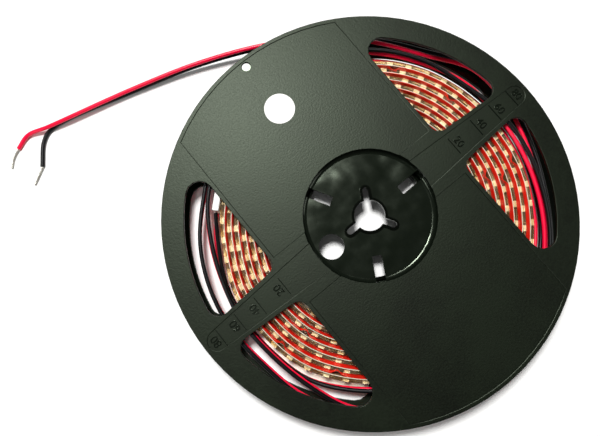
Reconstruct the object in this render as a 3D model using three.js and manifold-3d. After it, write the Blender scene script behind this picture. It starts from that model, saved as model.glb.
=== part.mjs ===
// A reel of LED strip light: two moulded flanges on a hub, the wound strip and its lead.
// Millimetres, +Z up. The reel lies on its rear flange, and the origin is under its centre.
// X runs along the two narrow spokes, Y along the wide bands that carry the label panels.
import * as THREE from "three";
import { mergeVertices } from "three/addons/utils/BufferGeometryUtils.js";
import Module from "manifold-3d";

const wasm = await Module();
wasm.setup();

// Reel
const flangeRadius = 89;
const flangeThickness = 1.5;
const windingClearance = 0.75;
const fitGap = 0.3;

// Hub
const hubRadius = 30;
const sleeveBore = 28.4;
const recessRadius = 28.9;
const recessDepth = 3.2;
const recessFillet = 1.8;
const webThickness = 1.6;
const arborRadius = 6.7;
const keyReach = 12.3;
const keyWidth = 2.7;
const keyAngles = [60, 180, 300];
const rimWidth = 1.1;
const rimHeight = 0.8;
const slotWidth = 4.2;
const slotStart = 17.5;
const slotAngles = [0, 120, 240];
const slotMargin = 0.4;
const pinHoleRadius = 5.5;
const pinHolePlace = -21.2;
const spigotWall = 1.5;
const spigotHeight = 4;
const spigotChamfer = 0.5;

// Windows, four in each flange
const windowToRim = 9.7;
const bandHalfWidth = 45;
const spokeHalfWidthInside = 8.35;
const spokeHalfWidthOutside = 6.35;
const spokeOutsideAt = 76;
const windowInnerCorner = 4.5;
const windowOuterCorner = 5;
const windowTipCorner = 6;

// Sunk panels and scale bands on the front face
const panelDepth = 0.3;
const panelHalfWidth = 43.1;
const panelNearEdge = 12;
const panelToRim = 1.8;
const scaleHalfWidthInside = 7;
const scaleHalfWidthOutside = 4.2;
const scaleStart = 27.9;
const scaleToRim = 2;

// Small hole near the rim, and the paper dot
const rimHoleRadius = 2;
const rimHoleToRim = 4.3;
const dotRadius = 6.75;
const dotThickness = 0.15;
const dotX = -0.6;
const dotToRim = 28.4;

// Strip
const tapeWidth = 8;
const tapeThickness = 0.6;
const coatThickness = 1.7;
const ledPitch = 8.333;
const ledLength = 2.8;
const ledWidth = 3.5;
const ledHeight = 1.9;
const tightPitch = 2.4;
const tightTurns = 5.5;
const loosePitch = 3.3;
const looseTurns = 7.55;
const ledsShowFrom = 45.5;
const plainStep = 15;
// How far the loose roll bulges out or is pressed in, every 30 degrees, at its outermost turn
const rollBulge = [-0.2, 0, -1.2, -2.8, -4.5, -3.6, -0.5, 2, 2, 2.1, 2.2, 1.2];

// Sleeve over the solder joint at the strip's end
const jointAngle = 132.3;
const jointLength = 15.5;
const jointThickness = 3.1;
const jointHeight = 8.6;
const jointCorner = 0.7;
const endGapAngle = 0.8;
const leadStartGap = 0.6;

// Lead
const wireDiameter = 1.8;
const wireSides = 8;
const stepsPerPoint = 1;
const pairSpacing = 2.2;
const jointSpacing = 4.2;
const tipDiameter = 0.9;

// Segment counts
const rimSegments = 96;
const hubSegments = 44;
const boreSegments = 40;
const holeSegments = 32;
const smallHoleSegments = 16;
const arcSteps = 12;
const cornerSteps = 5;
const roundEndSteps = 8;

// How far a cutter reaches past what it cuts
const cutMargin = 1;

const windowArcRadius = flangeRadius - windowToRim;
const panelArcRadius = flangeRadius - panelToRim;
const scaleEnd = flangeRadius - scaleToRim;
const rimHolePlace = flangeRadius - rimHoleToRim;
const dotY = flangeRadius - dotToRim;

// The flanges stand clear of the tape and of the sleeve at its end, whichever is taller
const innerWidth = Math.max(tapeWidth, jointHeight) + windingClearance;
const reelHeight = 2 * flangeThickness + innerWidth;
const frontInside = reelHeight - flangeThickness;
const radians = THREE.MathUtils.degToRad;

// The lead pair inside the reel: angle, radius, height and twist.
// Twist 0 has the red wire straight outside the black one, 90 above it and -90 below it.
const woundRoute = [
  [150, 66.9, 5.6, -60],
  [165, 68.4, 4.4, -80],
  [180, 69.9, 4.2, -90],
  [195, 71.7, 4.2, -88],
  [210, 74.2, 4.4, -85],
  [225, 73.7, 6, -98],
  [240, 73.3, 7.1, -98],
  [255, 73.6, 7.3, -100],
  [270, 74, 6.8, -105],
  [285, 74.6, 5.8, -120],
  [300, 75, 4.7, -145],
  [315, 75.2, 3.8, -165],
  [330, 74, 3.7, -168],
  [345, 73.8, 3.9, -168],
  [360, 73.3, 4.1, -163],
  [375, 73, 4.2, -160],
  [390, 73.1, 4.2, -155],
  [405, 72.8, 4.2, -140],
  [420, 72, 5.1, -110],
  [435, 71.4, 6.2, -85],
  [450, 71, 7, -75],
  [465, 70.7, 7.4, -70],
  [480, 70.4, 7.7, -70],
  [495, 70.3, 8.2, -80],
  [510, 69.1, 8.4, -75],
  [525, 69, 8.5, -78],
  [540, 70.5, 8.5, -88],
  [555, 72, 8.5, -95],
  [570, 75.6, 8.3, -98],
  [585, 81, 7.8, -102],
  [600, 82.6, 7, -108],
  [615, 82.3, 6.7, -114],
  [630, 81.5, 6.7, -120],
  [645, 80.2, 7.4, -130],
  [660, 78.8, 8, -142],
  [675, 77, 8.4, -155],
  [690, 75.3, 8.5, -165],
  [705, 74.3, 8.5, -150],
  [720, 73.6, 8.4, -98],
  [735, 73.4, 8.4, -45],
  [750, 73.6, 8.5, -98],
  [765, 74.1, 8.6, -106],
  [780, 74.4, 8.4, -98],
  [795, 74.2, 8.1, -90],
  [810, 73.8, 7.8, -85],
  [825, 73.2, 7.4, -85],
  [840, 72.8, 7, -85],
  [855, 72.4, 6.9, -85],
  [870, 74, 7.4, -80],
  [885, 75.1, 7.6, -82],
  [900, 76.1, 7.6, -92],
  [915, 77.3, 7.6, -98],
  [930, 81, 7.2, -102],
  [945, 83.6, 6.5, -102],
  [960, 85, 6, -105],
  [975, 85.4, 5.8, -115],
  [990, 84.8, 5.6, -130],
  [1005, 83.2, 5.5, -147],
  [1020, 80.9, 5.7, -162],
  [1035, 78.7, 5.8, -175],
  [1050, 77.7, 5.8, -180],
  [1065, 79.1, 5.4, -182],
  [1080, 82, 5.2, -184],
  [1095, 83.8, 5.2, -185],
  [1110, 79.6, 5.4, -188],
  [1125, 79.9, 6, -210],
  [1140, 82.5, 6.6, -250],
  [1160, 89.6, 6.2, -275],
];

// Outside the reel: x, y, height and twist, down to the table and on to the split
const freeRoute = [
  [-13.6, 102.2, 4, 84],
  [-44.5, 112.1, 2.7, 80],
  [-84.9, 122.3, 2, 72],
];

// After the split, one list for each wire, and the bare tinned end of each
const redEnd = [
  [-95, 126.2, 1.4],
  [-102, 124, 0.92],
];
const blackEnd = [
  [-91, 119.5, 0.92],
  [-98.5, 110.5, 0.92],
];
const redTip = [
  [-102.35, 123.8, 0.92],
  [-106, 122, 0.7],
  [-109.6, 118.7, 0.5],
];
const blackTip = [
  [-98.75, 110.2, 0.92],
  [-102.5, 108, 0.7],
  [-106, 106, 0.5],
];

// Joining and cutting

function toSolid(geometry) {
  const plain = geometry.index ? geometry.toNonIndexed() : geometry.clone();
  plain.deleteAttribute("normal");
  plain.deleteAttribute("uv");
  const merged = mergeVertices(plain, 1e-4);
  const mesh = new wasm.Mesh({
    numProp: 3,
    vertProperties: new Float32Array(merged.attributes.position.array),
    triVerts: new Uint32Array(merged.index.array),
  });
  return new wasm.Manifold(mesh);
}

function toGeometry(solid) {
  const mesh = solid.getMesh();
  const geometry = new THREE.BufferGeometry();
  geometry.setAttribute("position", new THREE.BufferAttribute(mesh.vertProperties, 3));
  geometry.setIndex(new THREE.BufferAttribute(mesh.triVerts, 1));
  return geometry;
}

function joined(...solids) {
  return solids.reduce((sum, solid) => sum.add(solid));
}

function cut(solid, ...tools) {
  return tools.reduce((rest, tool) => rest.subtract(tool), solid);
}

// Outlines

function arc(x, y, radius, from, to, steps) {
  const points = [];
  for (let i = 0; i <= steps; i += 1) {
    const angle = radians(from + ((to - from) * i) / steps);
    points.push(new THREE.Vector2(x + radius * Math.cos(angle), y + radius * Math.sin(angle)));
  }
  return points;
}

function circle(x, y, radius, steps) {
  return arc(x, y, radius, 0, 360, steps).slice(0, -1);
}

function prism(outline, bottom, height, holes = []) {
  const shape = new THREE.Shape(outline);
  shape.holes = holes.map((hole) => new THREE.Path(hole));
  const geometry = new THREE.ExtrudeGeometry(shape, { depth: height, bevelEnabled: false, curveSegments: 1 });
  return geometry.translate(0, 0, bottom);
}

function turned(outline) {
  const points = outline.map(([radius, height]) => new THREE.Vector2(radius, height));
  points.push(points[0].clone());
  return new THREE.LatheGeometry(points, hubSegments).rotateX(Math.PI / 2);
}

function degrees(y, x) {
  return THREE.MathUtils.radToDeg(Math.atan2(y, x));
}

// One window, with its three rounded corners: the straight edge beside the label band,
// the edge beside the narrow spoke, and the arc under the rim.
function windowOutline() {
  const slope = (spokeHalfWidthOutside - spokeHalfWidthInside) / (spokeOutsideAt - bandHalfWidth);
  const lean = Math.atan(slope);
  const normal = new THREE.Vector2(-Math.sin(lean), Math.cos(lean));
  const inner = new THREE.Vector2(bandHalfWidth + windowInnerCorner, 0);
  inner.y = spokeHalfWidthInside + slope * windowInnerCorner + windowInnerCorner / Math.cos(lean);
  // The outer corner's centre lies one corner radius off the spoke's edge and off the arc
  const along = new THREE.Vector2(Math.cos(lean), Math.sin(lean));
  const base = new THREE.Vector2(bandHalfWidth, spokeHalfWidthInside).addScaledVector(normal, windowOuterCorner);
  const reach = windowArcRadius - windowOuterCorner;
  const forward = base.dot(along);
  const distance = -forward + Math.sqrt(forward * forward - base.lengthSq() + reach * reach);
  const outer = base.addScaledVector(along, distance);
  const tip = new THREE.Vector2(bandHalfWidth + windowTipCorner, 0);
  tip.y = Math.sqrt((windowArcRadius - windowTipCorner) ** 2 - tip.x ** 2);
  const down = degrees(-normal.y, -normal.x);
  const outerTurn = degrees(outer.y, outer.x);
  const tipTurn = degrees(tip.y, tip.x);
  return [
    ...arc(inner.x, inner.y, windowInnerCorner, 180, down + 360, cornerSteps),
    ...arc(outer.x, outer.y, windowOuterCorner, down, outerTurn, cornerSteps),
    ...arc(0, 0, windowArcRadius, outerTurn, tipTurn, arcSteps).slice(1, -1),
    ...arc(tip.x, tip.y, windowTipCorner, tipTurn, 180, cornerSteps),
  ];
}

function fourWindows() {
  const outline = windowOutline();
  const signs = [[1, 1], [-1, 1], [-1, -1], [1, -1]];
  return signs.map(([sx, sy]) => outline.map((point) => new THREE.Vector2(sx * point.x, sy * point.y)));
}

// A stadium from the centre out to a given reach, for the keyways and their rim
function keyOutline(angle, halfWidth, reach) {
  const end = reach - halfWidth;
  const outline = [new THREE.Vector2(0, halfWidth), new THREE.Vector2(0, -halfWidth)];
  outline.push(...arc(end, 0, halfWidth, -90, 90, roundEndSteps));
  return outline.map((point) => point.rotateAround(new THREE.Vector2(), radians(angle)));
}

// A label panel: straight sides, and an arc under the rim
function panelOutline(sign) {
  const corner = degrees(Math.sqrt(panelArcRadius ** 2 - panelHalfWidth ** 2), panelHalfWidth);
  const outline = [
    new THREE.Vector2(-panelHalfWidth, panelNearEdge),
    new THREE.Vector2(panelHalfWidth, panelNearEdge),
    ...arc(0, 0, panelArcRadius, corner, 180 - corner, arcSteps),
  ];
  return outline.map((point) => new THREE.Vector2(point.x, sign * point.y));
}

// A scale band: it narrows outwards and has a round end
function scaleOutline(sign) {
  const end = scaleEnd - scaleHalfWidthOutside;
  const outline = [
    new THREE.Vector2(scaleStart, scaleHalfWidthInside),
    new THREE.Vector2(scaleStart, -scaleHalfWidthInside),
    ...arc(end, 0, scaleHalfWidthOutside, -90, 90, roundEndSteps),
  ];
  return outline.map((point) => new THREE.Vector2(sign * point.x, point.y));
}

// Moulded halves

function flangeDisc(bottom, bore, holes) {
  const outline = circle(0, 0, flangeRadius, rimSegments);
  const inside = circle(0, 0, bore, hubSegments);
  return toSolid(prism(outline, bottom, flangeThickness, [inside, ...fourWindows(), ...holes]));
}

// The hub: sleeve, recess wall with its rounded foot, and the web across it
function hubBody() {
  const webTop = reelHeight - recessDepth;
  const webBottom = webTop - webThickness;
  const foot = [];
  for (const turn of [0, 30, 60, 90]) {
    const angle = radians(turn);
    foot.push([
      recessRadius - recessFillet * (1 - Math.cos(angle)),
      webTop + recessFillet * (1 - Math.sin(angle)),
    ]);
  }
  return toSolid(turned([
    [arborRadius, webBottom],
    [sleeveBore, webBottom],
    [sleeveBore, flangeThickness],
    [hubRadius, flangeThickness],
    [hubRadius, reelHeight],
    [recessRadius, reelHeight],
    ...foot,
    [arborRadius, webTop],
  ]));
}

function frontFlange() {
  const webTop = reelHeight - recessDepth;
  const webBottom = webTop - webThickness;
  const middle = (recessRadius + hubRadius) / 2;
  const rimHole = circle(0, rimHolePlace, rimHoleRadius, smallHoleSegments);
  const disc = flangeDisc(frontInside, middle, [rimHole]);
  const rimBottom = webTop - webThickness / 2;
  const rimTall = webThickness / 2 + rimHeight;
  const cutBottom = webBottom - cutMargin;
  const cutTall = webThickness + rimHeight + 2 * cutMargin;
  const rim = [toSolid(prism(circle(0, 0, arborRadius + rimWidth, boreSegments), rimBottom, rimTall))];
  const bores = [toSolid(prism(circle(0, 0, arborRadius, boreSegments), cutBottom, cutTall))];
  for (const angle of keyAngles) {
    const outside = keyOutline(angle, keyWidth / 2 + rimWidth, keyReach + rimWidth);
    rim.push(toSolid(prism(outside, rimBottom, rimTall)));
    const inside = keyOutline(angle, keyWidth / 2, keyReach);
    bores.push(toSolid(prism(inside, cutBottom, cutTall)));
  }
  const pinHole = toSolid(prism(circle(pinHolePlace, 0, pinHoleRadius, holeSegments), cutBottom, cutTall));
  // The slots run out to the recess wall and through its rounded foot
  const slots = slotAngles.map((angle) => {
    const length = recessRadius - slotStart;
    const tall = slotMargin + webThickness + recessFillet;
    const slot = new THREE.BoxGeometry(length, slotWidth, tall);
    slot.translate(slotStart + length / 2, 0, webBottom - slotMargin + tall / 2);
    return toSolid(slot.rotateZ(radians(angle)));
  });
  const sunk = [];
  for (const sign of [1, -1]) {
    sunk.push(toSolid(prism(panelOutline(sign), reelHeight - panelDepth, panelDepth + cutMargin)));
    sunk.push(toSolid(prism(scaleOutline(sign), reelHeight - panelDepth, panelDepth + cutMargin)));
  }
  return toGeometry(cut(joined(disc, hubBody(), ...rim), ...bores, pinHole, ...slots, ...sunk));
}

function rearFlange() {
  const outside = sleeveBore - fitGap;
  const inside = outside - spigotWall;
  const top = flangeThickness + spigotHeight;
  const spigot = toSolid(turned([
    [inside, 0],
    [outside, 0],
    [outside, top - spigotChamfer],
    [outside - spigotChamfer, top],
    [inside, top],
  ]));
  return toGeometry(joined(flangeDisc(0, (inside + outside) / 2, []), spigot));
}

// Roll of strip

const rollTurns = tightTurns + looseTurns;
const rollInside = (hubRadius + fitGap) / Math.cos(radians(plainStep / 2));
const rollOutside = rollInside + tightPitch * tightTurns + loosePitch * looseTurns;
const jointHalfAngle = THREE.MathUtils.radToDeg(jointLength / 2 / rollOutside);
const rollEnd = jointAngle - jointHalfAngle - endGapAngle + 360;
const rollStart = rollEnd - 360 * rollTurns;

function bulgeAt(angle) {
  const place = (((angle % 360) + 360) % 360) / 30;
  const first = Math.floor(place);
  const blend = (1 - Math.cos(Math.PI * (place - first))) / 2;
  return THREE.MathUtils.lerp(rollBulge[first % 12], rollBulge[(first + 1) % 12], blend);
}

// Radius of the tape's inner face at an angle that counts every turn
function tapeRadius(angle) {
  const turn = (angle - rollStart) / 360;
  const tight = Math.min(turn, tightTurns);
  const even = rollInside + tightPitch * tight + loosePitch * (turn - tight);
  const share = (even - rollInside) / (rollOutside - rollInside);
  return even + bulgeAt(angle) * share;
}

function rollAngles() {
  const angles = [rollEnd];
  let angle = rollEnd;
  while (angle > rollStart) {
    const radius = tapeRadius(angle);
    const step = radius > ledsShowFrom ? THREE.MathUtils.radToDeg(ledPitch / (radius + tapeThickness)) : plainStep;
    angle = Math.max(angle - step, rollStart);
    angles.push(angle);
  }
  return angles.reverse();
}

// The tape is one closed band. On the outer turns a clear coat lies on its outer face, and each
// cell there carries an LED that stands a little out of the coat.
function ledStrip() {
  const bottom = flangeThickness + fitGap;
  const top = bottom + tapeWidth;
  const middle = (bottom + top) / 2;
  const positions = [];
  const faces = [];
  const point = (x, y, z) => positions.push(x, y, z) / 3 - 1;
  const quad = (a, b, c, d) => faces.push(a, b, c, a, c, d);
  const angles = rollAngles();
  const rings = angles.map((angle) => {
    const inner = tapeRadius(angle);
    const outer = inner + tapeThickness + (inner > ledsShowFrom ? coatThickness : 0);
    const c = Math.cos(radians(angle));
    const s = Math.sin(radians(angle));
    return [
      point(inner * c, inner * s, bottom),
      point(outer * c, outer * s, bottom),
      point(outer * c, outer * s, top),
      point(inner * c, inner * s, top),
    ];
  });
  const at = (index) => new THREE.Vector3().fromArray(positions, 3 * index);
  const last = rings.length - 1;
  quad(...rings[0]);
  quad(...rings[last].toReversed());
  for (let i = 0; i < last; i += 1) {
    const near = rings[i];
    const far = rings[i + 1];
    quad(near[0], far[0], far[1], near[1]);
    quad(near[2], far[2], far[3], near[3]);
    quad(near[3], far[3], far[0], near[0]);
    const from = at(near[1]);
    const to = at(far[1]);
    const carriesLed = tapeRadius(angles[i]) > ledsShowFrom && i < last - 1;
    if (!carriesLed) {
      quad(near[1], far[1], far[2], near[2]);
      continue;
    }
    const along = new THREE.Vector3().subVectors(to, from).normalize();
    const outward = new THREE.Vector3(along.y, -along.x, 0);
    const centre = new THREE.Vector3().addVectors(from, to).multiplyScalar(0.5);
    const corner = (side, up, out) => {
      const place = centre.clone().addScaledVector(along, (side * ledLength) / 2);
      place.addScaledVector(outward, out);
      return point(place.x, place.y, middle + (up * ledWidth) / 2);
    };
    const foot = [corner(-1, -1, 0), corner(1, -1, 0), corner(1, 1, 0), corner(-1, 1, 0)];
    const proud = ledHeight - coatThickness;
    const face = [corner(-1, -1, proud), corner(1, -1, proud), corner(1, 1, proud), corner(-1, 1, proud)];
    const edge = [near[1], far[1], far[2], near[2]];
    for (let k = 0; k < 4; k += 1) {
      const next = (k + 1) % 4;
      quad(edge[k], edge[next], foot[next], foot[k]);
      quad(foot[k], foot[next], face[next], face[k]);
    }
    quad(...face);
  }
  const geometry = new THREE.BufferGeometry();
  geometry.setAttribute("position", new THREE.Float32BufferAttribute(positions, 3));
  geometry.setIndex(faces);
  return geometry;
}

// The sleeve is a flat-sided block with rounded edges, lying on the LEDs of the turn below it
const jointSeats = [-jointHalfAngle, -jointHalfAngle / 2, 0, jointHalfAngle / 2, jointHalfAngle].map(
  (offset) => (tapeRadius(jointAngle + offset) + tapeThickness + ledHeight) * Math.cos(radians(offset)),
);
const jointInside = Math.max(...jointSeats) + fitGap;
const jointMiddle = jointInside + jointThickness / 2;
const jointBottom = flangeThickness + fitGap;

function jointSleeve() {
  const x = jointThickness / 2 - jointCorner;
  const y = jointHeight / 2 - jointCorner;
  const outline = [
    ...arc(x, y, jointCorner, 0, 90, 3),
    ...arc(-x, y, jointCorner, 90, 180, 3),
    ...arc(-x, -y, jointCorner, 180, 270, 3),
    ...arc(x, -y, jointCorner, 270, 360, 3),
  ];
  const geometry = prism(outline, -jointLength / 2, jointLength);
  geometry.rotateX(Math.PI / 2);
  geometry.translate(jointMiddle, 0, jointBottom + jointHeight / 2);
  return geometry.rotateZ(radians(jointAngle));
}

// Lead

// A smooth route whose steps fall evenly between its points
class Route extends THREE.CatmullRomCurve3 {
  getUtoTmapping(share) {
    return share;
  }
}

function tube(points, diameter, steps) {
  const section = new THREE.Shape(circle(0, 0, diameter / 2, wireSides));
  const route = new Route(points, false, "centripetal");
  return new THREE.ExtrudeGeometry(section, { steps, extrudePath: route, bevelEnabled: false, curveSegments: 1 });
}

// The middle of the pair, from the sleeve's end to the split
function pairRoute() {
  const start = new THREE.Vector3(jointMiddle, jointLength / 2 + leadStartGap, 0);
  start.applyAxisAngle(new THREE.Vector3(0, 0, 1), radians(jointAngle));
  const rows = [[start.x, start.y, jointBottom + jointHeight / 2, -90]];
  for (const [angle, radius, height, twist] of woundRoute) {
    const turn = radians(angle);
    rows.push([radius * Math.cos(turn), radius * Math.sin(turn), height, twist]);
  }
  return [...rows, ...freeRoute];
}

// One wire of the pair: side is 1 for the red wire and -1 for the black one
function wireRoute(side, end) {
  const rows = pairRoute();
  const points = rows.map(([x, y, z, twist], i) => {
    const before = rows[Math.max(i - 1, 0)];
    const after = rows[Math.min(i + 1, rows.length - 1)];
    const heading = Math.atan2(after[1] - before[1], after[0] - before[0]);
    const spacing = i === 0 ? jointSpacing : pairSpacing;
    const out = (side * spacing * Math.cos(radians(twist))) / 2;
    const up = (side * spacing * Math.sin(radians(twist))) / 2;
    return new THREE.Vector3(x + out * Math.sin(heading), y - out * Math.cos(heading), z + up);
  });
  return [...points, ...end.map((place) => new THREE.Vector3(...place))];
}

function wire(side, end) {
  const points = wireRoute(side, end);
  return tube(points, wireDiameter, stepsPerPoint * (points.length - 1));
}

function tip(places) {
  return tube(places.map((place) => new THREE.Vector3(...place)), tipDiameter, 4);
}

function roundLabel() {
  return prism(circle(dotX, dotY, dotRadius, holeSegments), reelHeight - panelDepth, dotThickness);
}

// The whole reel

const moulding = { color: 0x4a4f46, roughness: 0.62, metalness: 0 };
const tinned = { color: 0xc9c6bd, roughness: 0.35, metalness: 0.9 };

const pieces = [
  ["front_flange", frontFlange, moulding],
  ["rear_flange", rearFlange, moulding],
  ["led_strip", ledStrip, { color: 0xd8ccae, roughness: 0.45, metalness: 0 }],
  ["joint_sleeve", jointSleeve, { color: 0xf2f1ec, roughness: 0.5, metalness: 0 }],
  ["lead_red", () => wire(1, redEnd), { color: 0xe01534, roughness: 0.35, metalness: 0 }],
  ["lead_black", () => wire(-1, blackEnd), { color: 0x141414, roughness: 0.35, metalness: 0 }],
  ["tip_red", () => tip(redTip), tinned],
  ["tip_black", () => tip(blackTip), tinned],
  ["round_label", roundLabel, { color: 0xf4f3ee, roughness: 0.8, metalness: 0 }],
];

const reel = new THREE.Group();
for (const [name, make, finish] of pieces) {
  const mesh = new THREE.Mesh(make(), new THREE.MeshStandardMaterial(finish));
  mesh.name = name;
  reel.add(mesh);
}

export default reel;
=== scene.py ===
# A reel of LED strip light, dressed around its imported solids.
import math

import bmesh
import bpy
from mathutils import Matrix, Vector, noise


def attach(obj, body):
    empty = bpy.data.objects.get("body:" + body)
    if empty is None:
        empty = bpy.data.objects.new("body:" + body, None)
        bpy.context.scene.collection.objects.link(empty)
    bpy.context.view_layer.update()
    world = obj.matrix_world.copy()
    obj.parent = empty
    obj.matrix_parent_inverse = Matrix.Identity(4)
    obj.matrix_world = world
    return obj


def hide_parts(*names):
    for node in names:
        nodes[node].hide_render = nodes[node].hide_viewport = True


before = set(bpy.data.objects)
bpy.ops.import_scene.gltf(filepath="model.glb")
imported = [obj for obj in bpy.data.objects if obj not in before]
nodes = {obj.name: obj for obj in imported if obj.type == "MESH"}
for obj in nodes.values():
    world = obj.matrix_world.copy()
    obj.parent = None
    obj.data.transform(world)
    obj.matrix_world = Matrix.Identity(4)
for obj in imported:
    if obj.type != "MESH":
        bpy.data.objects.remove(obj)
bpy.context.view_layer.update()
scene = bpy.context.scene
mm = 0.001

# Camera: it looks down on the reel, as the photograph does.
# Place in millimetres and angles in degrees, fitted to the photograph.
cameraSetup = {
    "place": (-40.3, -1.4, 231.65),
    "turn": -39.3,
    "tilt": -6.55,
    "roll": 0.09,
    "lens": 31.2,
    "sensor": 36,
}


def makeCamera(setup):
    data = bpy.data.cameras.new("camera")
    data.lens = setup["lens"]
    data.sensor_width = setup["sensor"]
    data.clip_start = 0.01
    camera = bpy.data.objects.new("camera", data)
    scene.collection.objects.link(camera)
    tilt = Matrix.Rotation(math.radians(setup["tilt"]), 4, "X")
    roll = Matrix.Rotation(math.radians(setup["roll"]), 4, "Y")
    turn = Matrix.Rotation(math.radians(setup["turn"]), 4, "Z")
    place = Matrix.Translation(Vector(setup["place"]) * mm)
    camera.matrix_world = place @ turn @ (tilt @ roll).transposed()
    scene.camera = camera


makeCamera(cameraSetup)
print("camera placed")


# Colours and nodes


def linearColour(hexText):
    parts = [int(hexText[i:i + 2], 16) / 255 for i in (0, 2, 4)]
    linear = [c / 12.92 if c <= 0.04045 else ((c + 0.055) / 1.055) ** 2.4 for c in parts]
    return (*linear, 1.0)


def addNode(tree, kind, settings=None, links=None):
    node = tree.nodes.new(kind)
    for key, value in (settings or {}).items():
        if isinstance(key, str) and hasattr(node, key):
            setattr(node, key, value)
        else:
            node.inputs[key].default_value = value
    for key, socket in (links or {}).items():
        tree.links.new(socket, node.inputs[key])
    return node


def newMaterial(name, settings):
    material = bpy.data.materials.new(name)
    material.use_nodes = True
    tree = material.node_tree
    tree.nodes.clear()
    shader = addNode(tree, "ShaderNodeBsdfPrincipled", settings)
    addNode(tree, "ShaderNodeOutputMaterial", links={"Surface": shader.outputs[0]})
    material.diffuse_color = shader.inputs["Base Color"].default_value
    return material, tree, shader


def tintBase(tree, shader, share, first, second, low=0.0, high=1.0):
    # The base colour runs from the first to the second while share goes from low to high
    ramp = addNode(tree, "ShaderNodeValToRGB", links={"Fac": share})
    start, end = ramp.color_ramp.elements
    start.color = linearColour(first)
    end.color = linearColour(second)
    start.position = low
    end.position = high
    tree.links.new(ramp.outputs[0], shader.inputs["Base Color"])


def objectNoise(tree, grain, detail=2.0, roughness=0.5):
    # grain is the size of one lump in millimetres
    place = addNode(tree, "ShaderNodeTexCoord").outputs["Object"]
    settings = {"Scale": 1000 / grain, "Detail": detail, "Roughness": roughness}
    return addNode(tree, "ShaderNodeTexNoise", settings, {"Vector": place})


def addBump(tree, shader, height, strength, depth):
    # depth is in millimetres
    settings = {"Strength": strength, "Distance": depth * mm}
    bump = addNode(tree, "ShaderNodeBump", settings, {"Height": height})
    tree.links.new(bump.outputs[0], shader.inputs["Normal"])


def varyRoughness(tree, shader, share, low, high):
    gloss = addNode(tree, "ShaderNodeMapRange", {"To Min": low, "To Max": high}, {"Value": share})
    tree.links.new(gloss.outputs[0], shader.inputs["Roughness"])


# Materials of the reel and the lead. Sizes of patterns are in millimetres.
plasticSetup = {
    "specularTint": "e2f2d8",
    "cloud": 22,
    "grain": 0.8,
    "grainStrength": 0.8,
    "grainDepth": 0.08,
    "grainShare": 0.7,
    "matteLow": 0.36,
    "matteHigh": 0.5,
    "sinkWave": 13,
    "sinkDepth": 1.6,
    "smear": 3.5,
}


def mouldedPolystyrene():
    # High-impact polystyrene from a spark-eroded mould: dark, matte, a fine even grain
    settings = {
        "Base Color": linearColour("0b0f0a"),
        "Roughness": plasticSetup["matteHigh"],
        "Specular IOR Level": 0.34,
        "Specular Tint": linearColour(plasticSetup["specularTint"]),
    }
    material, tree, shader = newMaterial("mouldedPolystyrene", settings)
    cloud = objectNoise(tree, plasticSetup["cloud"], 3.0)
    fine = objectNoise(tree, plasticSetup["grain"], 2.0, 0.7)
    settings = {"operation": "MULTIPLY_ADD", 1: plasticSetup["grainShare"]}
    links = {0: fine.outputs["Fac"], 2: cloud.outputs["Fac"]}
    mixed = addNode(tree, "ShaderNodeMath", settings, links)
    tintBase(tree, shader, mixed.outputs[0], "020301", "0e140b", 0.6)
    varyRoughness(tree, shader, fine.outputs["Fac"], plasticSetup["matteLow"], plasticSetup["matteHigh"])
    addBump(tree, shader, fine.outputs["Fac"], plasticSetup["grainStrength"], plasticSetup["grainDepth"])
    return material


def polishedPolystyrene(name, colour, low, high, sink):
    # The same plastic from a polished mould: near black, glossy, with slow sink waves.
    # Its roughness runs from low to high, and sink is how strongly the waves show.
    settings = {
        "Base Color": linearColour(colour),
        "Roughness": low,
        "Specular IOR Level": 0.5,
        "Specular Tint": linearColour(plasticSetup["specularTint"]),
    }
    material, tree, shader = newMaterial(name, settings)
    waves = objectNoise(tree, plasticSetup["sinkWave"], 1.0)
    addBump(tree, shader, waves.outputs["Fac"], sink, plasticSetup["sinkDepth"])
    smear = objectNoise(tree, plasticSetup["smear"], 3.0)
    varyRoughness(tree, shader, smear.outputs["Fac"], low, high)
    return material


def pvcInsulation(name, dark, light, roughness, gloss):
    # Extruded PVC insulation: smooth, slightly waxy, with faint lengthways colour drift
    settings = {"Base Color": linearColour(light), "Roughness": roughness, "Specular IOR Level": gloss}
    material, tree, shader = newMaterial(name, settings)
    drift = objectNoise(tree, 14, 2.0)
    tintBase(tree, shader, drift.outputs["Fac"], dark, light)
    fine = objectNoise(tree, 0.5, 2.0)
    addBump(tree, shader, fine.outputs["Fac"], 0.15, 0.04)
    return material


def tinnedCopper():
    # Tinned stranded copper: bright but soft, drawn strands
    settings = {"Base Color": linearColour("c9c6bd"), "Metallic": 1.0, "Roughness": 0.32}
    material, tree, shader = newMaterial("tinnedCopper", settings)
    spots = objectNoise(tree, 0.6, 2.0)
    tintBase(tree, shader, spots.outputs["Fac"], "b0aca2", "dedbd2")
    return material


# The strip's shape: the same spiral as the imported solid, angles in degrees, sizes in millimetres
stripSetup = {
    "hubRadius": 30,
    "gap": 0.3,
    "flange": 1.5,
    "width": 8,
    "thickness": 0.6,
    "ledPitch": 8.333,
    "tightPitch": 2.4,
    "tightTurns": 5.5,
    "loosePitch": 3.3,
    "looseTurns": 7.55,
    "plainStep": 15,
    "bulge": [-0.2, 0, -1.2, -2.8, -4.5, -3.6, -0.5, 2, 2, 2.1, 2.2, 1.2],
    "ledsShowFrom": 45.5,
    "ledHeight": 1.9,
    "coat": 1.7,
    "jointAngle": 132.3,
    "jointLength": 15.5,
    "jointThickness": 3.1,
    "jointHeight": 8.6,
    "endGapAngle": 0.8,
    "leadStartGap": 0.6,
}
rollTurns = stripSetup["tightTurns"] + stripSetup["looseTurns"]
halfStep = math.radians(stripSetup["plainStep"] / 2)
rollInside = (stripSetup["hubRadius"] + stripSetup["gap"]) / math.cos(halfStep)
tightReach = stripSetup["tightPitch"] * stripSetup["tightTurns"]
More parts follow.
